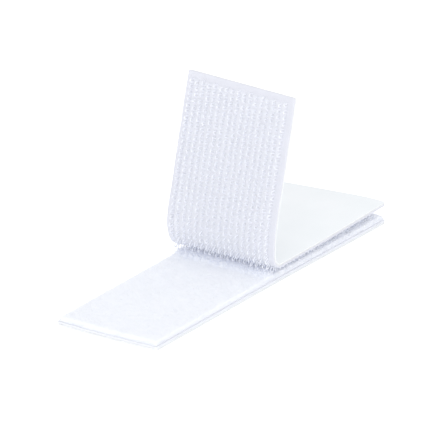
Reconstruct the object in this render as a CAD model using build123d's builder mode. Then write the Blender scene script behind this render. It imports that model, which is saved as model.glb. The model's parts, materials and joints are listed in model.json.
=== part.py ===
"""A pair of self-adhesive hook-and-loop fastener strips, partly peeled apart.

The loop strip lies flat on its release liner, with that liner's face at z = 0. The hook strip is pressed onto its
+X half, and its other half is peeled up into a standing tab. +X runs along the strips to their joined far ends,
Y across them, and +Z is up. The origin is under the middle of the loop strip.

Each strip is a stack of layers: release liner, adhesive, back coating, woven tape, then pile or hooks. The hook strip
is flexible, so it is made in straight sections that hinge on the outer face of its liner, which is the inside of
the bend. There the layers butt together when the strip is flat, and open a little as it bends.
"""

from build123d import *

import os
from math import cos, radians, sin

# Both strips, in millimetres.
loop_length = 88.0
loop_width = 25.2
hook_width = 26.2
selvedge = 1.5  # plain woven margin along each long edge of the hook strip
pile_margin = 0.4  # on the loop strip, whose pile spreads nearly to every edge
end_band = 1.5  # flattened margin at each of its cut ends
corner_radius = 0.6  # of the cut corners, in plan

# The layers, from the outside in.
liner_thickness = 0.12
adhesive_thickness = 0.24
coating_thickness = 0.12
tape_thickness = 0.42
pile_height = 1.05  # the springy body of the pile, without its loose top loops
hook_height = 1.30
hook_clearance = 0.15  # between the body of the pile and the tips of the hooks

# Rows of hooks.
hook_pitch = 1.35
hook_thread = 0.20
curl_radius = 0.30  # of the thread's centre line where it curls over

# The hook strip's course. Each bend section turns up from the one before it, and the tab is the last of them.
hook_far_end = 43.8
flap_start = 33.0  # where the far end's liner can peel
tail_start = 27.0  # where the far end can lift
peel_front = 2.4  # where the strip leaves the loop strip
bend_turns = [42.0, 34.0, 17.5]
bend_lengths = [2.1, 2.9, 5.1]
tab_turn = 11.0
tab_length = 28.0
section_gap = 0.03  # left at each end of a section

layers = {
    "liner": liner_thickness,
    "adhesive": adhesive_thickness,
    "coating": coating_thickness,
    "tape": tape_thickness,
}
backing = sum(layers.values())
top_height = 2 * backing + pile_height + hook_clearance + hook_height

os.makedirs("parts", exist_ok=True)


def save(part, name):
    """Label a finished piece and write its file."""
    part.label = name
    export_step(part, f"parts/{name}.step")


def slab(plane, start, end, width, thickness, cut_ends=()):
    """A flat layer from start to end along the plane's x. Its corners are rounded at the ends that were cut."""
    with BuildPart() as layer:
        with BuildSketch(plane) as outline:
            with Locations(((start + end) / 2, 0)):
                Rectangle(end - start, width)
            corners = outline.vertices().group_by(Axis.X)
            rounded = [corner for cut_end in cut_ends for corner in corners[cut_end]]
            if rounded:
                fillet(rounded, corner_radius)
        extrude(amount=thickness)
    return layer.part


def hook_rows(plane, start, end):
    """Rows of hooks that stand on the tape's face. Each row is one thread's outline, drawn out across the field."""
    count = round((end - start) / hook_pitch)
    spacing = (end - start) / count
    root = -backing
    curl_height = root - hook_height + hook_thread / 2 + curl_radius
    side = Plane(origin=plane.origin, x_dir=plane.x_dir, z_dir=-plane.y_dir)
    with BuildPart() as rows:
        with BuildSketch(side):
            with BuildLine():
                for row in range(count):
                    stem = start + (row + 0.5) * spacing - curl_radius
                    Line((stem, root), (stem, curl_height))
                    CenterArc((stem + curl_radius, curl_height), curl_radius, 180, 180)
            trace(line_width=hook_thread)
        extrude(amount=hook_width / 2 - selvedge, both=True)
    return rows.part


def hook_section(name, plane, start, end, is_cut=False, liner_split=None):
    """One section of the hook strip, whose liner's face lies in the plane. A cut end has rounded corners, and the
    hooks stop short of it. A split liner is two pieces, a root and a flap."""
    low, high = start + section_gap, end - (0 if is_cut else section_gap)
    cut_ends = (-1,) if is_cut else ()
    depth = 0
    for layer, thickness in layers.items():
        depth += thickness
        face = plane.offset(-depth)
        if layer == "liner" and liner_split:
            root = slab(face, low, liner_split - section_gap, hook_width, thickness)
            save(root, f"{name}_liner_root")
            flap = slab(face, liner_split + section_gap, high, hook_width, thickness, cut_ends)
            save(flap, f"{name}_liner_flap")
        else:
            save(slab(face, low, high, hook_width, thickness, cut_ends), f"{name}_{layer}")
    hooks_end = end - end_band if is_cut else end
    save(hook_rows(plane, start, hooks_end), f"{name}_hooks")


# The loop strip, from its liner up to its pile.
height = 0
for layer, thickness in layers.items():
    floor = Plane.XY.offset(height)
    save(slab(floor, -loop_length / 2, loop_length / 2, loop_width, thickness, (0, -1)), f"loop_{layer}")
    height += thickness

with BuildPart() as pile:
    with BuildSketch(Plane.XY.offset(backing)):
        Rectangle(loop_length - 2 * pile_margin, loop_width - 2 * pile_margin)
    extrude(amount=pile_height)
    fillet(pile.edges().group_by(Axis.Z)[-1], pile_height / 3)
save(pile.part, "loop_pile")

# The hook strip's joined half, flat above the loop strip.
joined = Plane(origin=(peel_front, 0, top_height), x_dir=(1, 0, 0), z_dir=(0, 0, 1))
tail_offset = tail_start - peel_front
hook_section("joined", joined, 0, tail_offset)
hook_section("tail", joined, tail_offset, hook_far_end - peel_front, True, flap_start - peel_front)

# Its peeled half, section by section from the peel front, climbing away from the loop strip.
pivot = Vector(peel_front, 0, top_height)
heading = 180.0
sections = [(f"bend_{i + 1}", turn, length) for i, (turn, length) in enumerate(zip(bend_turns, bend_lengths))]
sections.append(("tab", tab_turn, tab_length))
for name, turn, length in sections:
    heading -= turn
    along = Vector(cos(radians(heading)), 0, sin(radians(heading)))
    outward = Vector(sin(radians(heading)), 0, -cos(radians(heading)))
    hook_section(name, Plane(origin=pivot, x_dir=along, z_dir=outward), 0, length, name == "tab")
    print(f"{name} pivots at x {pivot.X:.4f} z {pivot.Z:.4f} mm, heading {heading:.1f} degrees")
    pivot += along * length
print(f"tab ends at x {pivot.X:.4f} z {pivot.Z:.4f} mm; joined face at z {top_height:.3f} mm")
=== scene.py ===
import json
import math

import bpy
import numpy as np
from mathutils import Matrix, Vector


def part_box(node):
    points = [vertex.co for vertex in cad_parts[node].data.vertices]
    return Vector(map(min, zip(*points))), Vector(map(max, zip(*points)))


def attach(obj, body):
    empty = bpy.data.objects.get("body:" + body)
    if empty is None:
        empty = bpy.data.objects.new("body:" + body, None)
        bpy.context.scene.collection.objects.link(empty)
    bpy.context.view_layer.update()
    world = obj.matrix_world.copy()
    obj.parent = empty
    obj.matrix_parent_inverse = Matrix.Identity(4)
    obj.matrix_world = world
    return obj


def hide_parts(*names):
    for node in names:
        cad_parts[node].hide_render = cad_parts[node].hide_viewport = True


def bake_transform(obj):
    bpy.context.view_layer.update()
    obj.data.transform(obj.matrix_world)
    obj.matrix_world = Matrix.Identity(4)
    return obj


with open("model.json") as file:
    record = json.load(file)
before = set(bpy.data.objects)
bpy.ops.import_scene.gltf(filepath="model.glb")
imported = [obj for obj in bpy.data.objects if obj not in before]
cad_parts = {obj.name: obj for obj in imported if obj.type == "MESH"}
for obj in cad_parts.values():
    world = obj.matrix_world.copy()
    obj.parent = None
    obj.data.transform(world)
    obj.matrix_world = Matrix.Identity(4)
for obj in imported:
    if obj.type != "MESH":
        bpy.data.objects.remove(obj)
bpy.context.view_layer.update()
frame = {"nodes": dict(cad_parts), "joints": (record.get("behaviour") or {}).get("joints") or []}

# A pair of hook-and-loop fastener strips, half peeled apart. Lengths are in metres, in the frame's own axes:
# +X along the strips towards their joined far ends, Y across them, +Z up. The hook strip is described by s,
# the way along its liner from the peel front (positive up the peeled half, negative back along the joined
# half), by y, and by the depth below its liner's face.
MM = 0.001
rng = np.random.default_rng(7)


# ---------------------------------------------------------------- sizes, read from the frame

def node_box(name):
    low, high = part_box(name)
    return np.array(low), np.array(high)


LAYERS = ["liner", "adhesive", "coating", "tape"]
THICKNESS = {}
for layer in LAYERS:
    layer_low, layer_high = node_box(f"loop_{layer}")
    THICKNESS[layer] = layer_high[2] - layer_low[2]
BACKING = sum(THICKNESS.values())

tape_high = node_box("loop_tape")[1]
pile_low, pile_high = node_box("loop_pile")
LOOP_HALF_LENGTH, LOOP_HALF_WIDTH = tape_high[0], tape_high[1]
hooks_low, hooks_high = node_box("joined_hooks")
HOOK_HALF_WIDTH = node_box("joined_tape")[1][1]
SELVEDGE = HOOK_HALF_WIDTH - hooks_high[1]
HOOK_HEIGHT = hooks_high[2] - hooks_low[2]
JOINED_FACE = node_box("joined_liner")[1][2]
HOOK_FAR_END = node_box("tail_tape")[1][0]
END_BAND = 1.5 * MM  # flattened, with no hooks, at each of the hook strip's cut ends

joints = {joint["name"]: joint for joint in frame["joints"]}
folds = sorted(name for name in joints if name.startswith("fold"))
pivots = [np.array(joints[name]["pos_m"])[[0, 2]] for name in folds]
PEEL_FRONT = pivots[0][0]
TAIL_HINGE = joints["far_end_peel"]["pos_m"][0]
FLAP_HINGE = joints["tail_liner_peel"]["pos_m"][0]


# ---------------------------------------------------------------- the hook strip's course

def smooth(t):
    t = np.clip(t, 0.0, 1.0)
    return t * t * (3.0 - 2.0 * t)


tab_high = node_box("tab_liner")[1]
tab_top = np.array([tab_high[0], tab_high[2]])
spans = [after - before for before, after in zip(pivots, pivots[1:] + [tab_top])]
headings = [math.pi] + [math.atan2(z, x) for x, z in spans]
turns = [before - after for before, after in zip(headings, headings[1:])]
reaches = np.concatenate([[0.0], np.cumsum([math.hypot(x, z) for x, z in spans])])
TAB_END = reaches[-1]
FAR_END = PEEL_FRONT - HOOK_FAR_END

# Each hinge's turn is spread smoothly over its own stretch, and the stretches meet halfway between the hinges.
BEND_LEAD, BEND_TRAIL = 1.0 * MM, 2.4 * MM
edges = np.concatenate([[-BEND_LEAD], (reaches[:-2] + reaches[1:-1]) / 2, [reaches[-2] + BEND_TRAIL]])

table_s = np.linspace(-BEND_LEAD, TAB_END + 1 * MM, 4000)
table_heading = math.pi - sum(
    turn * smooth((table_s - low) / (high - low)) for turn, low, high in zip(turns, edges, edges[1:])
)


def running_total(rates):
    steps = (rates[1:] + rates[:-1]) / 2 * np.diff(table_s)
    return np.concatenate([[0.0], np.cumsum(steps)])


table_x = PEEL_FRONT + BEND_LEAD + running_total(np.cos(table_heading))
table_z = JOINED_FACE + running_total(np.sin(table_heading))


def course(s):
    """The x, z and heading of the liner's face."""
    straight = s < table_s[0]
    x = np.where(straight, PEEL_FRONT - s, np.interp(s, table_s, table_x))
    z = np.where(straight, JOINED_FACE, np.interp(s, table_s, table_z))
    return x, z, np.interp(s, table_s, table_heading)


# How far the hook strip strays from its straight CAD shape. The joined half tilts by NEAR_LIFT, and towards
# its far end it also rises, tilts and curls. The tab's twist and skew build up over TWIST_LENGTH, and its
# shift over SHIFT_LENGTH.
NEAR_LIFT = 0.15 * MM
END_RISE, END_TILT, END_CURL = 0.35 * MM, 0.70 * MM, 0.45 * MM
TAB_TWIST, TAB_SKEW, TAB_SHIFT = 0.65 * MM, 0.55 * MM, 0.80 * MM
TWIST_LENGTH, SHIFT_LENGTH = 6 * MM, 12 * MM


def place(s, y, depth):
    """Points on or in the hook strip. Its joined half isn't pressed down evenly, and its tab is twisted."""
    across = y / HOOK_HALF_WIDTH
    peeled = smooth(s / TWIST_LENGTH)
    joined = np.clip(s / FAR_END, 0, 1)
    end_lift = END_RISE - END_TILT * across - END_CURL * np.minimum(across, 0) ** 4
    lift = (joined**2 * end_lift - NEAR_LIFT * across) * (1 - peeled)
    x, z, heading = course(s + TAB_SKEW * across * peeled)
    x = x - TAB_TWIST * across * peeled + TAB_SHIFT * smooth(s / SHIFT_LENGTH)
    depth = depth - lift
    return np.stack([x - depth * np.sin(heading), y + 0 * x, z + depth * np.cos(heading)], axis=-1)


def along(x):
    """The s of a point on the joined half."""
    return PEEL_FRONT - x


OPEN_END_BOW = 0.35 * MM
FAR_SWAY = 0.55 * MM
BOW_START, BOW_LENGTH = 0.6 * LOOP_HALF_LENGTH, 0.4 * LOOP_HALF_LENGTH


def lie(x, y, z):
    """Points on or in the loop strip. Its open end is slightly bowed, and its far half not quite straight."""
    across = y / LOOP_HALF_WIDTH
    open_end = smooth((-x - BOW_START) / BOW_LENGTH)
    sway = FAR_SWAY * smooth(x / LOOP_HALF_LENGTH)
    return np.stack([x + OPEN_END_BOW * open_end * across**2, y - sway, z + 0 * x], axis=-1)


# ---------------------------------------------------------------- meshes

NOISE_CELLS = 256  # along each side, after which the noise repeats


def value_noise(u, v, cell, seed):
    """Smooth random heights from -1 to 1, about one bump to a cell."""
    grid = np.random.default_rng(seed).uniform(-1, 1, (NOISE_CELLS, NOISE_CELLS))
    i, j = np.floor(u / cell).astype(int), np.floor(v / cell).astype(int)
    p, q = smooth(u / cell - i), smooth(v / cell - j)
    i, j = i % NOISE_CELLS, j % NOISE_CELLS
    next_i, next_j = (i + 1) % NOISE_CELLS, (j + 1) % NOISE_CELLS
    near = grid[i, j] * (1 - p) + grid[next_i, j] * p
    back = grid[i, next_j] * (1 - p) + grid[next_i, next_j] * p
    return near * (1 - q) + back * q


SHARP_ANGLE = math.radians(50)


def make_piece(name, points, faces, material, flat=None):
    mesh = bpy.data.meshes.new(name)
    mesh.from_pydata(points.tolist(), [], faces)
    mesh.polygons.foreach_set("use_smooth", np.ones(len(mesh.polygons), bool))
    mesh.set_sharp_from_angle(angle=SHARP_ANGLE)
    mesh.materials.append(material)
    if flat is not None:  # where each point lies on the flat strip, in millimetres
        corners = np.empty(len(mesh.loops), int)
        mesh.loops.foreach_get("vertex_index", corners)
        mesh.uv_layers.new(name="flat").data.foreach_set("uv", (flat[corners] / MM).ravel())
    piece = bpy.data.objects.new(name, mesh)
    bpy.context.scene.collection.objects.link(piece)
    return piece


CUT_RADIUS = 0.4 * MM  # of a cut end's corners, in plan
EDGE_ROUNDING = 0.1 * MM  # of the long edges, measured across the strip
EDGE_STEPS = 3
END_THINNING = 0.5  # the share of its thickness that a cut end loses
END_THIN_LENGTH = 0.12 * MM  # how far in from the end the thinning reaches


def sheet_mesh(stations, half_width, rows, shape, cut_start, cut_end):
    """A closed sheet swept along its stations. rows are its points across, from -1 to 1. shape(along, y,
    layer) gives points, where layer runs from 0 on its first face to 1 on its other face."""
    count = len(rows)
    arc = np.radians(np.linspace(90, -90, EDGE_STEPS + 2)[1:-1])
    rounding = EDGE_ROUNDING / half_width
    ring_y = np.concatenate([rows * (1 - rounding), 1 - rounding + rounding * np.cos(arc),
                             rows[::-1] * (1 - rounding), -1 + rounding - rounding * np.cos(arc)])
    arc_layer = 0.5 - 0.5 * np.sin(arc)
    ring_layer = np.concatenate([np.zeros(count), arc_layer, np.ones(count), arc_layer[::-1]])
    width = np.ones(len(stations))
    thin = np.ones(len(stations))
    for is_cut, end in ((cut_start, stations[0]), (cut_end, stations[-1])):
        if is_cut:
            inset = np.clip(1 - np.abs(stations - end) / CUT_RADIUS, 0, 1)
            width -= (1 - np.sqrt(1 - inset**2)) * CUT_RADIUS / half_width
            thin -= END_THINNING * np.clip(1 - np.abs(stations - end) / END_THIN_LENGTH, 0, 1) ** 2
    s = np.repeat(stations[:, None], len(ring_y), 1)
    y = half_width * width[:, None] * ring_y[None, :]
    layer = 0.5 + (ring_layer[None, :] - 0.5) * thin[:, None]
    points = shape(s, y, layer)
    flat = np.stack([s, y], axis=-1)
    ring = len(ring_y)
    i, j = np.meshgrid(np.arange(len(stations) - 1), np.arange(ring), indexing="ij")
    after = (j + 1) % ring
    sides = np.stack([i * ring + j, i * ring + after, (i + 1) * ring + after, (i + 1) * ring + j], axis=-1)
    faces = sides.reshape(-1, 4).tolist()
    first, last = 0, (len(stations) - 1) * ring
    far_row = count + EDGE_STEPS + count - 1 - np.arange(count)
    for base, flip in ((first, 1), (last, -1)):
        for k in range(count - 1):
            faces.append([base + n for n in (k, far_row[k], far_row[k + 1], k + 1)][::flip])
        right = [count - 1] + list(range(count + EDGE_STEPS, count - 1, -1))
        left = [count + EDGE_STEPS + count - 1] + [0] + list(range(ring - 1, ring - 1 - EDGE_STEPS, -1))
        faces.append([base + n for n in right][::flip])
        faces.append([base + n for n in left][::flip])
    return points.reshape(-1, 3), [[int(n) for n in face] for face in faces], flat.reshape(-1, 2)


def tubes(paths, radii, sides, side_axes):
    """Round threads along many paths at once. paths is thread, point, xyz; side_axes is a direction square to
    each thread's own plane; radii has one radius to a point."""
    threads, count, _ = paths.shape
    tangents = np.gradient(paths, axis=1)
    tangents /= np.linalg.norm(tangents, axis=2, keepdims=True) + 1e-12
    axis = side_axes[:, None, :] + 0 * paths
    axis -= tangents * np.sum(axis * tangents, axis=2, keepdims=True)
    axis /= np.linalg.norm(axis, axis=2, keepdims=True) + 1e-12
    other = np.cross(tangents, axis)
    angles = np.arange(sides) * 2 * math.pi / sides
    spokes = axis[:, :, None, :] * np.cos(angles)[:, None] + other[:, :, None, :] * np.sin(angles)[:, None]
    points = paths[:, :, None, :] + spokes * radii[None, :, None, None]
    t, i, k = np.meshgrid(np.arange(threads), np.arange(count - 1), np.arange(sides), indexing="ij")
    base, after = (t * count + i) * sides, (k + 1) % sides
    quads = np.stack([base + k, base + after, base + sides + after, base + sides + k], axis=-1)
    faces = quads.reshape(-1, 4).tolist()
    starts = np.arange(threads)[:, None] * count * sides + np.arange(sides)[None, ::-1]
    finishes = (np.arange(threads)[:, None] * count + count - 1) * sides + np.arange(sides)[None, :]
    return points.reshape(-1, 3), faces + starts.tolist() + finishes.tolist()


# ---------------------------------------------------------------- materials

def linear(red, green, blue):
    """An on-screen colour, from 0 to 255, as light."""
    return tuple(((c / 255 + 0.055) / 1.055) ** 2.4 for c in (red, green, blue)) + (1.0,)


FINISH_SOCKETS = {
    "specular": "Specular IOR Level", "coat": "Coat Weight", "sheen": "Sheen Weight",
    "sheen_roughness": "Sheen Roughness", "scatter": "Subsurface Weight",
}

# A painted glow: an emission, tuned so that the gaps between white threads are not too dark. It is not a
# measured value.
PAINTED_GLOW = 0.07


class Surface:
    """A material on one principled shader, with short ways to add patterns to it."""

    def __init__(self, name, colour, roughness, **finish):
        self.material = bpy.data.materials.new(name)
        self.material.use_nodes = True
        self.nodes = self.material.node_tree.nodes
        self.links = self.material.node_tree.links
        self.shader = self.nodes["Principled BSDF"]
        self.set("Base Color", colour)
        self.set("Roughness", roughness)
        for socket, value in finish.items():
            self.set(FINISH_SOCKETS[socket], value)
        self.flat = self.nodes.new("ShaderNodeUVMap")
        self.flat.uv_map = "flat"
        self.place = self.nodes.new("ShaderNodeTexCoord")

    def set(self, socket, value):
        self.shader.inputs[socket].default_value = value

    def scatter_within(self, distance):
        """Light of every colour spreads this far inside."""
        self.set("Subsurface Radius", (1.0, 1.0, 1.0))
        self.set("Subsurface Scale", distance)

    def add_painted_glow(self):
        """A faint glow of its own: painted light that lifts the shade between the white threads, as the nylon
        is no lamp.
        """
        self.set("Emission Color", linear(236, 240, 255))
        self.set("Emission Strength", PAINTED_GLOW)

    def noise(self, scale, detail=2.0, on_strip=False):
        """Noise with scale bumps to a metre, or to a millimetre on the flat strip."""
        node = self.nodes.new("ShaderNodeTexNoise")
        node.inputs["Scale"].default_value = scale
        node.inputs["Detail"].default_value = detail
        source = self.flat.outputs["UV"] if on_strip else self.place.outputs["Object"]
        self.links.new(source, node.inputs["Vector"])
        return node.outputs["Fac"]

    def ribs(self, scale, direction, distortion=0.0):
        """Waves across the flat strip, with scale / 2 pi of them to a millimetre."""
        node = self.nodes.new("ShaderNodeTexWave")
        node.bands_direction = direction
        node.inputs["Scale"].default_value = scale
        node.inputs["Distortion"].default_value = distortion
        node.inputs["Detail"].default_value = 1.0
        self.links.new(self.flat.outputs["UV"], node.inputs["Vector"])
        return node.outputs["Fac"]

    def join(self, operation, first, second):
        node = self.nodes.new("ShaderNodeMath")
        node.operation = operation
        for socket, value in zip(node.inputs, (first, second)):
            if isinstance(value, (int, float)):
                socket.default_value = value
            else:
                self.links.new(value, socket)
        return node.outputs[0]

    def tint(self, factor, *colours):
        """The colour runs through the colours in turn as the factor grows."""
        node = self.nodes.new("ShaderNodeValToRGB")
        stops = node.color_ramp.elements
        for _ in colours[2:]:
            stops.new(0.5)
        for stop, position, colour in zip(stops, np.linspace(0.3, 0.7, len(colours)), colours):
            stop.position, stop.color = position, colour
        self.links.new(factor, node.inputs["Fac"])
        self.links.new(node.outputs["Color"], self.shader.inputs["Base Color"])

    def inside(self, start, end, half_width):
        """1 inside a rectangle on the flat strip and 0 outside it, with soft edges. Sides are in metres."""
        split = self.nodes.new("ShaderNodeSeparateXYZ")
        self.links.new(self.flat.outputs["UV"], split.inputs["Vector"])
        s, y = split.outputs["X"], split.outputs["Y"]
        from_start, from_end = self.join("SUBTRACT", s, start / MM), self.join("SUBTRACT", end / MM, s)
        from_ends = self.join("MINIMUM", from_start, from_end)
        from_sides = self.join("SUBTRACT", half_width / MM, self.join("ABSOLUTE", y, 0))
        depth = self.join("MULTIPLY", self.join("MINIMUM", from_ends, from_sides), 3)
        return self.join("MINIMUM", self.join("MAXIMUM", depth, 0), 1)

    def vary_roughness(self, factor, low, high):
        node = self.nodes.new("ShaderNodeMapRange")
        node.inputs["To Min"].default_value = low
        node.inputs["To Max"].default_value = high
        self.links.new(factor, node.inputs["Value"])
        self.links.new(node.outputs["Result"], self.shader.inputs["Roughness"])

    def bump(self, height, distance, strength=1.0):
        node = self.nodes.new("ShaderNodeBump")
        node.inputs["Distance"].default_value = distance
        node.inputs["Strength"].default_value = strength
        self.links.new(height, node.inputs["Height"])
        self.links.new(node.outputs["Normal"], self.shader.inputs["Normal"])


def release_liner():
    paper = Surface("release_liner", linear(219, 223, 226), 0.42, specular=0.45)
    paper.tint(paper.noise(90, 3), linear(224, 229, 233), linear(230, 234, 238))
    paper.vary_roughness(paper.noise(700), 0.36, 0.5)
    paper.bump(paper.join("ADD", paper.noise(350), paper.noise(2500)), 0.012 * MM, 0.6)
    return paper.material


def adhesive():
    glue = Surface("adhesive", linear(226, 228, 228), 0.22, coat=0.2)
    glue.tint(glue.noise(600, 3), linear(227, 229, 229), linear(235, 237, 238))
    glue.vary_roughness(glue.noise(1500), 0.12, 0.3)
    glue.bump(glue.noise(1800), 0.03 * MM)
    return glue.material


def back_coating():
    resin = Surface("back_coating", linear(224, 226, 229), 0.5)
    resin.tint(resin.noise(900, 3), linear(218, 220, 224), linear(229, 231, 234))
    resin.bump(resin.noise(2200), 0.02 * MM)
    return resin.material


def woven_tape(name, low, high, field):
    """The selvedges vary from low to high. The field colour is seen between the hooks, or under the pile;
    where it is lighter than the selvedges it is painted light, lifting the shade that the hooks cast on the
    ground between them.
    """
    cloth = Surface(name, low, 0.72, sheen=0.15, sheen_roughness=0.5)
    weft = cloth.ribs(5.6, "X", 0.4)
    warp = cloth.ribs(5.0, "Y", 0.4)
    weave = cloth.join("MULTIPLY", weft, warp)
    mottled = cloth.join("ADD", weave, cloth.join("MULTIPLY", cloth.noise(1.2, 2, on_strip=True), 0.6))
    # Painted light: the tape between the hooks is made lighter, to lift the shade that the hooks cast there.
    painted_lift_in_field = cloth.inside(FAR_END + END_BAND, TAB_END - END_BAND, HOOK_HALF_WIDTH - SELVEDGE)
    cloth.tint(cloth.join("ADD", cloth.join("MULTIPLY", mottled, 0.5), cloth.join("MULTIPLY", painted_lift_in_field, 0.4)),
               low, high, field)
    cloth.bump(weave, 0.05 * MM, 0.8)
    cloth.add_painted_glow()
    return cloth.material


def hook_thread():
    # The hooks are coloured darker than the tape they stand on: painted shade that keeps their lit tops from
    # standing brighter than the shaded ground between them.
    thread = Surface("hook_thread", linear(210, 213, 222), 0.6, specular=0.12, scatter=0.8)
    thread.scatter_within(0.3 * MM)
    thread.vary_roughness(thread.noise(900), 0.52, 0.68)
    thread.add_painted_glow()
    return thread.material


def loop_pile():
    pile = Surface("loop_pile", linear(231, 234, 242), 0.9, sheen=0.15, sheen_roughness=0.4, scatter=0.6)
    pile.scatter_within(0.6 * MM)
    pile.tint(pile.noise(420, 4), linear(224, 227, 234), linear(228, 231, 237))
    pile.bump(pile.join("ADD", pile.noise(2600, 3), pile.noise(7000)), 0.12 * MM)
    pile.add_painted_glow()
    return pile.material


def loop_thread():
    fibre = Surface("loop_thread", linear(226, 229, 236), 0.7, sheen=0.1, scatter=0.7)
    fibre.scatter_within(0.3 * MM)
    fibre.vary_roughness(fibre.noise(800), 0.6, 0.8)
    fibre.add_painted_glow()
    return fibre.material


MATERIALS = {
    "liner": (release_liner(), "release_liner"),
    "adhesive": (adhesive(), "adhesive"),
    "coating": (back_coating(), "back_coating"),
    # The hook strip's tape is a darker copy of the loop strip's white weave: painted shade for its upright
    # tab. Its field is lighter again, as painted light between the hooks.
    "tape": (woven_tape("woven_tape", linear(210, 212, 223), linear(217, 218, 228), linear(220, 222, 230)),
             "woven_tape"),
    "loop_tape": (
        woven_tape("woven_loop_tape", linear(226, 229, 237), linear(232, 234, 241), linear(232, 234, 241)),
        "woven_tape",
    ),
    "hooks": (hook_thread(), "hook_thread"),
    "pile": (loop_pile(), "loop_pile"),
    "loops": (loop_thread(), "loop_pile"),
}

# How far each layer's long edges stand back from the tape's.
INSETS = {"liner": 0.0, "adhesive": 0.05 * MM, "coating": 0.02 * MM, "tape": 0.0}


# ---------------------------------------------------------------- the hook strip's segments

class Segment:
    """A stretch of the hook strip, listed with two bodies, one before its joint and one after it. Its pieces
    are baked where they are built, and do not move with those bodies.
    """

    def __init__(self, name, low, high, bodies, start, end, sections):
        self.name, self.low, self.high = name, low, high
        self.bodies, self.start, self.end = bodies, start, end
        self.sections = sections  # of the CAD strip, that it stands for

    def attach(self, piece):
        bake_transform(piece)

    def nodes(self, layer):
        return [node for node in frame["nodes"] if any(node.startswith(f"{s}_{layer}") for s in self.sections)]


def on_course(s):
    x, z, _ = course(np.array(s))
    return (float(x), 0.0, float(z))


FRONT_BACK_END = (PEEL_FRONT + TAIL_HINGE) / 2
TAIL_BLEND = 1.5 * MM
FLAP_LEAD, FLAP_TRAIL = 1.0 * MM, 1.5 * MM
FLAP_LINER_START = 30.0 * MM
BEND_BODIES = ["hook_joined"] + [joints[name]["child"] for name in folds]
BEND_SECTIONS = ["joined"] + [body.removeprefix("hook_") for body in BEND_BODIES[1:]]

far = Segment("far", FAR_END, along(FRONT_BACK_END), ("hook_joined", "hook_tail"),
              (TAIL_HINGE - TAIL_BLEND, 0, JOINED_FACE), (TAIL_HINGE + TAIL_BLEND, 0, JOINED_FACE), ["tail"])
far_liner = Segment("far", along(FLAP_LINER_START), far.high, far.bodies, far.start, far.end, ["tail"])
flap_liner = Segment("flap", FAR_END, along(FLAP_LINER_START), ("hook_tail", "tail_flap"),
                     (FLAP_HINGE - FLAP_LEAD, 0, JOINED_FACE),
                     (FLAP_HINGE + FLAP_TRAIL, 0, JOINED_FACE), ["tail"])
bends = []
for k in range(len(folds)):
    is_last = k == len(folds) - 1
    bends.append(Segment(
        "tab" if is_last else ("front" if k == 0 else BEND_SECTIONS[k]),
        far.high if k == 0 else edges[k],
        TAB_END if is_last else edges[k + 1],
        (BEND_BODIES[k], BEND_BODIES[k + 1]),
        on_course(edges[k]), on_course(edges[k + 1]),
        BEND_SECTIONS[k:k + 2] if is_last else [BEND_SECTIONS[k]],
    ))


def stations_along(low, high, fine, coarse):
    """Stations that are closer together round the bend and at the strip's ends."""
    marks = [low]
    while marks[-1] < high - 1e-9:
        s = marks[-1]
        in_bend = edges[0] - 1 * MM < s < edges[-1]
        near_end = s > TAB_END - 1 * MM or s < FAR_END + 1 * MM
        step = fine if near_end or in_bend else coarse
        marks.append(min(s + step, high))
    if marks[-1] - marks[-2] < 0.3 * fine and len(marks) > 2:
        del marks[-2]
    return np.array(marks)


# The weave of the ground tape: ribs across the strip, crossed by its warp threads.
RIB_PITCH, WARP_PITCH, WEAVE_HEIGHT = 0.56 * MM, 0.62 * MM, 0.022 * MM


def weave(s, y):
    """The height of the tape's woven face above its mean."""
    rib = np.cos(2 * math.pi * s / RIB_PITCH)
    thread = np.cos(2 * math.pi * y / WARP_PITCH)
    return WEAVE_HEIGHT * (rib * thread + 0.5 * value_noise(s, y, 0.5 * MM, 11))


def ragged(s, seed):
    """How far the tape's edge wanders from straight."""
    return 0.02 * MM * np.cos(2 * math.pi * s / RIB_PITCH) + 0.05 * MM * value_noise(s, 0 * s, 3 * MM, seed)


def columns(half_width, edge_step, middle_step):
    """Points across a strip, from -1 to 1, closer together on its selvedges."""
    inner = half_width - SELVEDGE
    edge = np.linspace(inner, half_width, max(2, round(SELVEDGE / edge_step)) + 1)[1:]
    middle = np.linspace(-inner, inner, max(2, round(2 * inner / middle_step)) + 1)
    return np.concatenate([-edge[::-1], middle, edge]) / half_width


def hook_layer(layer, segment):
    """One layer of one segment of the hook strip."""
    top = sum(THICKNESS[other] for other in LAYERS[:LAYERS.index(layer)])
    is_tape = layer == "tape"
    half_width = HOOK_HALF_WIDTH - INSETS[layer]
    rows = columns(half_width, 0.14 * MM, 0.28 * MM) if is_tape else columns(half_width, 1 * MM, 1 * MM)
    stations = stations_along(segment.low, segment.high, 0.14 * MM, 0.14 * MM if is_tape else 0.6 * MM)

    def shape(s, y, face):
        depth = top + THICKNESS[layer] * face
        if is_tape:
            depth = depth + weave(s, y) * smooth(face)
            y = y * (1 + ragged(s, 3) / HOOK_HALF_WIDTH)
        return place(s, y, depth)

    points, faces, flat = sheet_mesh(stations, half_width, rows, shape,
                                     segment.low <= FAR_END, segment.high >= TAB_END)
    material, slot = MATERIALS[layer]
    piece = make_piece(f"hook_{layer}_{segment.name}", points, faces, material, flat)
    wanted = segment.nodes(layer)
    if layer == "liner" and segment in (far_liner, flap_liner):
        wanted = ["tail_liner_root" if segment is far_liner else "tail_liner_flap"]
    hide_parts(*wanted)
    segment.attach(piece)


for layer in LAYERS:
    parts = [far_liner, flap_liner] if layer == "liner" else [far]
    for segment in parts + bends:
        hook_layer(layer, segment)


# ---------------------------------------------------------------- hooks

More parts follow.
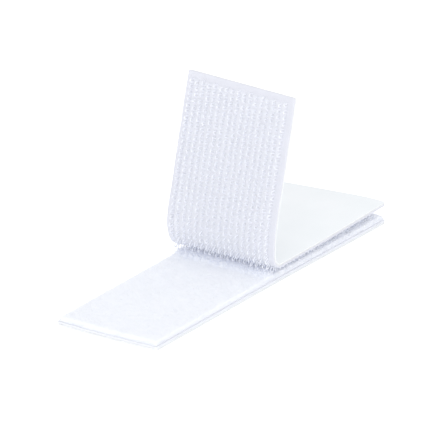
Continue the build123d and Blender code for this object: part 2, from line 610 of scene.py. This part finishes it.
HOOK_PITCH, HOOK_SPACING = 1.35 * MM, 1.48 * MM  # as wanted; both are then fitted to the field
HOOK_RADIUS, CURL_RADIUS = 0.12 * MM, 0.32 * MM
HOOK_CURLS = (165, 185, 205)  # degrees, one for each kind of hook
HOOK_ROOT = 0.08 * MM  # how deep a thread starts in the tape
STUB_OFFSET, TIP_SHARE = 0.7 * MM, 0.55  # from hook to stub, and of the thread's radius left at a tip
HOOK_SIDES = 6


def hook_line(height, curl_turn):
    """One hook from the side, as points (way along, height): a stem that curls over at its top."""
    angles = np.radians(180 - np.linspace(0, curl_turn, 9))
    shoulder = height - CURL_RADIUS - HOOK_RADIUS
    stem = np.stack([np.zeros(4), np.linspace(-HOOK_ROOT, shoulder * 0.85, 4)], axis=1)
    curl_along = CURL_RADIUS + CURL_RADIUS * np.cos(angles)
    curl = np.stack([curl_along, shoulder + CURL_RADIUS * np.sin(angles)], axis=1)
    return np.concatenate([stem, curl])


def stub_line(height):
    """What is left of the loop that the hook was cut from: a short stem, bent towards the hook."""
    t = np.linspace(0, 1, 5)
    return np.stack([-0.12 * MM * t**2, -HOOK_ROOT + (height + HOOK_ROOT) * t], axis=1)


def threads_on_strip(line, s, y, way, lean, twist):
    """The same line stood on the tape at each place, leaning, and turned a little about its own foot."""
    u, v = line[:, 0][None], line[:, 1][None]
    along_strip = s[:, None] + way[:, None] * (u * np.cos(twist)[:, None] + v * lean[:, None])
    across_strip = y[:, None] + u * np.sin(twist)[:, None]
    return place(along_strip, across_strip, BACKING + v * np.sqrt(1 - lean[:, None] ** 2))


def hook_field():
    """Every hook's place, in rows that run along the strip. Neighbouring rows face opposite ways."""
    first, last = FAR_END + END_BAND, TAB_END - END_BAND
    rows = round((last - first) / HOOK_PITCH)
    inner = HOOK_HALF_WIDTH - SELVEDGE
    lines = round(2 * inner / HOOK_SPACING) + 1
    row, line = np.meshgrid(np.arange(rows), np.arange(lines), indexing="ij")
    row, line = row.ravel(), line.ravel()
    way = np.where(line % 2 == 0, 1.0, -1.0)
    s = first + (row + 0.5 + 0.25 * (line % 2)) * (last - first) / rows
    y = -inner + line * 2 * inner / (lines - 1)
    s = s + rng.uniform(-0.07, 0.07, s.size) * MM
    y = y + rng.uniform(-0.07, 0.07, s.size) * MM
    return s, y, way


hook_s, hook_y, hook_way = hook_field()
hook_lean = rng.uniform(-0.12, 0.12, hook_s.size)
hook_twist = rng.normal(0, 0.18, hook_s.size)
hook_kind = rng.integers(0, len(HOOK_CURLS), hook_s.size)

for segment in [far] + bends:
    groups = []
    here = (hook_s >= segment.low) & (hook_s < segment.high)
    for kind in range(len(HOOK_CURLS)):
        chosen = here & (hook_kind == kind)
        if not chosen.any():
            continue
        s, y, way = hook_s[chosen], hook_y[chosen], hook_way[chosen]
        lean, twist = hook_lean[chosen], hook_twist[chosen]
        line = hook_line(HOOK_HEIGHT * (0.94 + 0.05 * kind), HOOK_CURLS[kind])
        groups.append((threads_on_strip(line, s, y, way, lean, twist), s, y))
        stub = stub_line(HOOK_HEIGHT * (0.5 + 0.08 * kind))
        groups.append((threads_on_strip(stub, s + way * STUB_OFFSET, y, way, lean, twist), s, y))
    points, faces, count = [], [], 0
    for paths, s, y in groups:
        radii = np.full(paths.shape[1], HOOK_RADIUS)
        radii[-1] *= TIP_SHARE
        axes = np.tile([0.0, 1.0, 0.0], (len(paths), 1))
        some_points, some_faces = tubes(paths, radii, HOOK_SIDES, axes)
        points.append(some_points)
        faces += [[n + count for n in face] for face in some_faces]
        count += len(some_points)
    material, slot = MATERIALS["hooks"]
    piece = make_piece(f"hooks_{segment.name}", np.concatenate(points), faces, material)
    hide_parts(*segment.nodes("hooks"))
    segment.attach(piece)


# ---------------------------------------------------------------- the loop strip

RELEASE_GAP = 0.015 * MM  # the loop strip's liner slides out from under its adhesive
LOOP_BODIES = {
    "liner": "loop_release_liner", "adhesive": "loop_strip", "coating": "loop_strip", "tape": "loop_strip",
}


def loop_layer(layer):
    """One layer of the loop strip's backing."""
    bottom = sum(THICKNESS[other] for other in LAYERS[:LAYERS.index(layer)])
    is_tape = layer == "tape"
    half_width = LOOP_HALF_WIDTH - INSETS[layer]
    rows = columns(half_width, 0.14 * MM, 1.2 * MM) if is_tape else columns(half_width, 1 * MM, 2 * MM)
    ends = np.array([-LOOP_HALF_LENGTH, LOOP_HALF_LENGTH])
    margin = 1 * MM
    coarse = 0.16 * MM if is_tape else 1 * MM
    thickness = THICKNESS[layer] - (RELEASE_GAP if layer == "liner" else 0)
    middle = np.arange(ends[0] + margin, ends[1] - margin, coarse)
    fine = np.arange(0, margin, 0.12 * MM)
    stations = np.concatenate([ends[0] + fine, middle, ends[1] - fine[::-1]])

    def shape(x, y, face):
        z = bottom + thickness * face
        if is_tape:
            z = z + weave(x, y) * smooth(face)
            y = y * (1 + ragged(x, 5) / LOOP_HALF_WIDTH)
        return lie(x, y, z)

    points, faces, flat = sheet_mesh(stations, half_width, rows, shape, True, True)
    faces = [face[::-1] for face in faces]
    material, slot = MATERIALS["loop_tape" if is_tape else layer]
    piece = make_piece(f"loop_{layer}_sheet", points, faces, material, flat)
    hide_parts(f"loop_{layer}")
    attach(piece, LOOP_BODIES[layer])


for layer in LAYERS:
    loop_layer(layer)

PILE_HEIGHT = pile_high[2] - pile_low[2]
PILE_SHOULDER = 0.45 * MM  # over which the pile rounds off at its edges
# The ridge of pile before the peel front: its height, its length, and the length of each of its slopes.
PULLED_HEIGHT, PULLED_REACH, PULLED_SLOPE = 0.80 * MM, 3.7 * MM, 1.4 * MM


def pile_surface(x, y):
    """The height of the springy body of the pile, which is thinner at its edges, and raised in a ridge just
    before the peel front."""
    edge = np.minimum(pile_high[0] - np.abs(x), pile_high[1] - np.abs(y))
    shoulder = np.sqrt(1 - np.clip(1 - edge / PILE_SHOULDER, 0, 1) ** 2)
    lumps = 0.05 * value_noise(x, y, 0.55 * MM, 21) + 0.035 * value_noise(x, y, 1.7 * MM, 22)
    ahead = PEEL_FRONT - x
    tufts = 0.8 + 0.2 * np.cos(2 * math.pi * y / HOOK_SPACING) + 0.2 * value_noise(x, y, 0.8 * MM, 23)
    under_hooks = smooth((HOOK_HALF_WIDTH - SELVEDGE - np.abs(y)) / (1 * MM) + 0.4)
    pulled = PULLED_HEIGHT * tufts * under_hooks
    pulled = pulled * smooth((PULLED_REACH - ahead) / PULLED_SLOPE) * smooth(ahead / PULLED_SLOPE)
    return pile_low[2] + (PILE_HEIGHT + pulled) * (0.35 + 0.62 * shoulder) + lumps * MM * shoulder


def pile_body():
    fine = np.arange(PEEL_FRONT - PULLED_REACH, PEEL_FRONT, 0.12 * MM)
    x_marks = np.unique(np.concatenate([np.linspace(-pile_high[0], pile_high[0], 380), fine]))
    y_marks = np.linspace(-pile_high[1], pile_high[1], 100)
    x, y = np.meshgrid(x_marks, y_marks, indexing="ij")
    top = lie(x, y, pile_surface(x, y))
    bottom = lie(x, y, 0 * x + pile_low[2] - 0.02 * MM)
    nx, ny = x.shape
    index = np.arange(nx * ny).reshape(nx, ny)
    quads = np.stack([index[:-1, :-1], index[1:, :-1], index[1:, 1:], index[:-1, 1:]], axis=-1).reshape(-1, 4)
    rim = np.concatenate([index[:, 0], index[-1, 1:], index[-2::-1, -1], index[0, -2:0:-1]])
    after = np.roll(rim, -1)
    under = nx * ny
    walls = np.stack([rim + under, after + under, after, rim], axis=-1)
    points = np.concatenate([top.reshape(-1, 3), bottom.reshape(-1, 3)])
    faces = quads.tolist() + (quads[:, ::-1] + under).tolist() + walls.tolist()
    material, slot = MATERIALS["pile"]
    piece = make_piece("loop_pile_body", points, faces, material)
    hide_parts("loop_pile")
    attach(piece, "loop_strip")


HEADROOM_SHARE = 0.8  # of the room below the hook strip's tape, that a loop may take up


def loops(name, feet, out, side, height, span, radius):
    """Loose loops of fine thread. Each arches out from its foot, and its two ends are spread along its side.
    Their height is limited by the room that the hook strip's tape leaves when it lies flat on them."""
    height = np.minimum(height, HEADROOM_SHARE * (JOINED_FACE - BACKING - feet[:, 2]))
    t = np.linspace(0, math.pi, 8)[None, :, None]
    lean = rng.normal(0, 0.35, feet.shape) * height[:, None]
    top = out * height[:, None] + lean - out * np.sum(lean * out, axis=1, keepdims=True)
    paths = feet[:, None] + side[:, None] * np.cos(t) * span[:, None, None] / 2 + top[:, None] * np.sin(t)
    points, faces = tubes(lie(*np.moveaxis(paths, 2, 0)), np.full(t.size, radius), 3, np.cross(out, side))
    material, slot = MATERIALS["loops"]
    piece = make_piece(name, points, faces, material)
    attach(piece, "loop_strip")


LOOP_FOOT = 0.05 * MM  # how deep the loops start in the pile


def on_top(count, x_low, x_high):
    """Places all over the pile, with the way out and a random way along it."""
    reach = pile_high[1] - 0.3 * MM
    x, y = rng.uniform(x_low, x_high, count), rng.uniform(-reach, reach, count)
    turned = rng.uniform(0, 2 * math.pi, count)
    feet = np.stack([x, y, pile_surface(x, y) - LOOP_FOOT], axis=1)
    out = np.tile([0.0, 0.0, 1.0], (count, 1))
    return feet, out, np.stack([np.cos(turned), np.sin(turned), 0 * turned], axis=1)


def on_walls(count):
    """Places all round the pile's four walls, with the way out and the way along each."""
    half_x, half_y = pile_high[0], pile_high[1]
    at_end = rng.uniform(0, half_x + half_y, count) < half_y
    sign = rng.choice([-1.0, 1.0], count)
    x = np.where(at_end, sign * (half_x - LOOP_FOOT), rng.uniform(-half_x, half_x, count))
    y = np.where(at_end, rng.uniform(-half_y, half_y, count), sign * (half_y - LOOP_FOOT))
    z = rng.uniform(pile_low[2] + 0.1 * MM, pile_high[2] - 0.1 * MM, count)
    out = np.stack([np.where(at_end, sign, 0), np.where(at_end, 0, sign), 0 * z], axis=1)
    along_wall = np.stack([np.where(at_end, 0, 1), np.where(at_end, 1, 0), 0 * z], axis=1)
    return np.stack([x, y, z], axis=1), out, along_wall.astype(float)


pile_body()
PILE_END = pile_high[0] - 0.2 * MM
LOOP_RADIUS = 0.022 * MM
LOOPS_ON_HALF, LOOPS_ON_EDGES, PULLED_PLACES = 4200, 2600, 4500
for name, low, high, tallest in (("loops_open", -PILE_END, 0.0, 0.3), ("loops_joined", 0.0, PILE_END, 1.0)):
    feet, out, side = on_top(LOOPS_ON_HALF, low, high)
    height = rng.uniform(0.4, 1.0, LOOPS_ON_HALF) * tallest * MM
    span = rng.uniform(0.4, 0.9, LOOPS_ON_HALF) * MM
    loops(name, feet, out, side, height, span, LOOP_RADIUS)

feet, out, side = on_walls(LOOPS_ON_EDGES)
height = rng.uniform(0.08, 0.24, LOOPS_ON_EDGES) * MM
span = rng.uniform(0.3, 0.7, LOOPS_ON_EDGES) * MM
loops("loops_edge", feet, out, side, height, span, LOOP_RADIUS)

# Where the strips part, loops still hang on the hooks and lean after them. They are longer and fewer the
# further the strips have parted.
feet, _, _ = on_top(PULLED_PLACES, PEEL_FRONT - PULLED_REACH, PEEL_FRONT)
ahead = (PEEL_FRONT - feet[:, 0]) / PULLED_REACH
held = (np.abs(feet[:, 1]) < HOOK_HALF_WIDTH - SELVEDGE) & (rng.uniform(0, 1, ahead.size) > ahead)
feet, ahead = feet[held], ahead[held]
count = len(feet)
out = np.tile([-0.45, 0.0, 0.89], (count, 1))
side = np.tile([0.0, 1.0, 0.0], (count, 1))
height = (0.8 + 0.5 * ahead) * rng.uniform(0.3, 1.0, count) * MM
span = rng.uniform(0.2, 0.5, count) * MM
loops("loops_pulled", feet, out, side, height, span, 1.4 * LOOP_RADIUS)


# ---------------------------------------------------------------- floor, light and camera

FLOOR_GLOW = 0.25  # the floor is lit from beneath too, like a light table


def floor():
    bpy.ops.mesh.primitive_plane_add(size=3.0, location=(0, 0, 0))
    ground = bpy.context.object
    ground.name = "floor"
    paper = Surface("floor", linear(250, 250, 250), 0.9)
    paper.set("Emission Color", (1, 1, 1, 1))
    paper.set("Emission Strength", FLOOR_GLOW)
    ground.data.materials.append(paper.material)


def soft_light(name, place, size, power):
    light = bpy.data.lights.new(name, "AREA")
    light.size = size
    light.energy = power
    lamp = bpy.data.objects.new(name, light)
    lamp.location = place
    lamp.rotation_euler = (-Vector(place)).to_track_quat("-Z", "Y").to_euler()
    lamp.visible_camera = False
    bpy.context.scene.collection.objects.link(lamp)


floor()
soft_light("overhead_light", (-0.10, -0.25, 0.70), 0.8, 0.95)
soft_light("front_light", (-0.80, -0.12, 0.06), 0.5, 3.0)
soft_light("side_light", (-0.15, -0.80, 0.08), 0.5, 0.5)

world = bpy.data.worlds.new("studio")
bpy.context.scene.world = world
world.use_nodes = True
world.node_tree.nodes["Background"].inputs["Color"].default_value = (1, 1, 1, 1)
world.node_tree.nodes["Background"].inputs["Strength"].default_value = 1.0
bpy.context.scene.view_settings.view_transform = "Standard"
bpy.context.scene.view_settings.gamma = 1.25  # soft shadows, as in a bright product picture

# White fibres pass light on many times before it is lost.
bpy.context.scene.cycles.diffuse_bounces = 20
bpy.context.scene.cycles.max_bounces = 24

# The camera stands far off with a long lens, so that the strips' long edges stay parallel.
CAMERA_DISTANCE, VIEW_WIDTH, SENSOR = 3.0, 94.73 * MM, 36.0
CAMERA_AZIMUTH, CAMERA_ELEVATION, CAMERA_ROLL = map(math.radians, (213.03, 21.91, 0.69))
CAMERA_TARGET = Vector((3.54, 1.87, 9.91)) * MM

camera_data = bpy.data.cameras.new("camera")
camera_data.sensor_width = SENSOR
camera_data.lens = SENSOR * CAMERA_DISTANCE / VIEW_WIDTH
camera = bpy.data.objects.new("camera", camera_data)
bpy.context.scene.collection.objects.link(camera)
back = Vector((math.cos(CAMERA_AZIMUTH) * math.cos(CAMERA_ELEVATION),
               math.sin(CAMERA_AZIMUTH) * math.cos(CAMERA_ELEVATION),
               math.sin(CAMERA_ELEVATION)))
turn = back.to_track_quat("Z", "Y").to_matrix() @ Matrix.Rotation(CAMERA_ROLL, 3, "Z")
camera.matrix_world = Matrix.Translation(CAMERA_TARGET + back * CAMERA_DISTANCE) @ turn.to_4x4()
bpy.context.scene.camera = camera
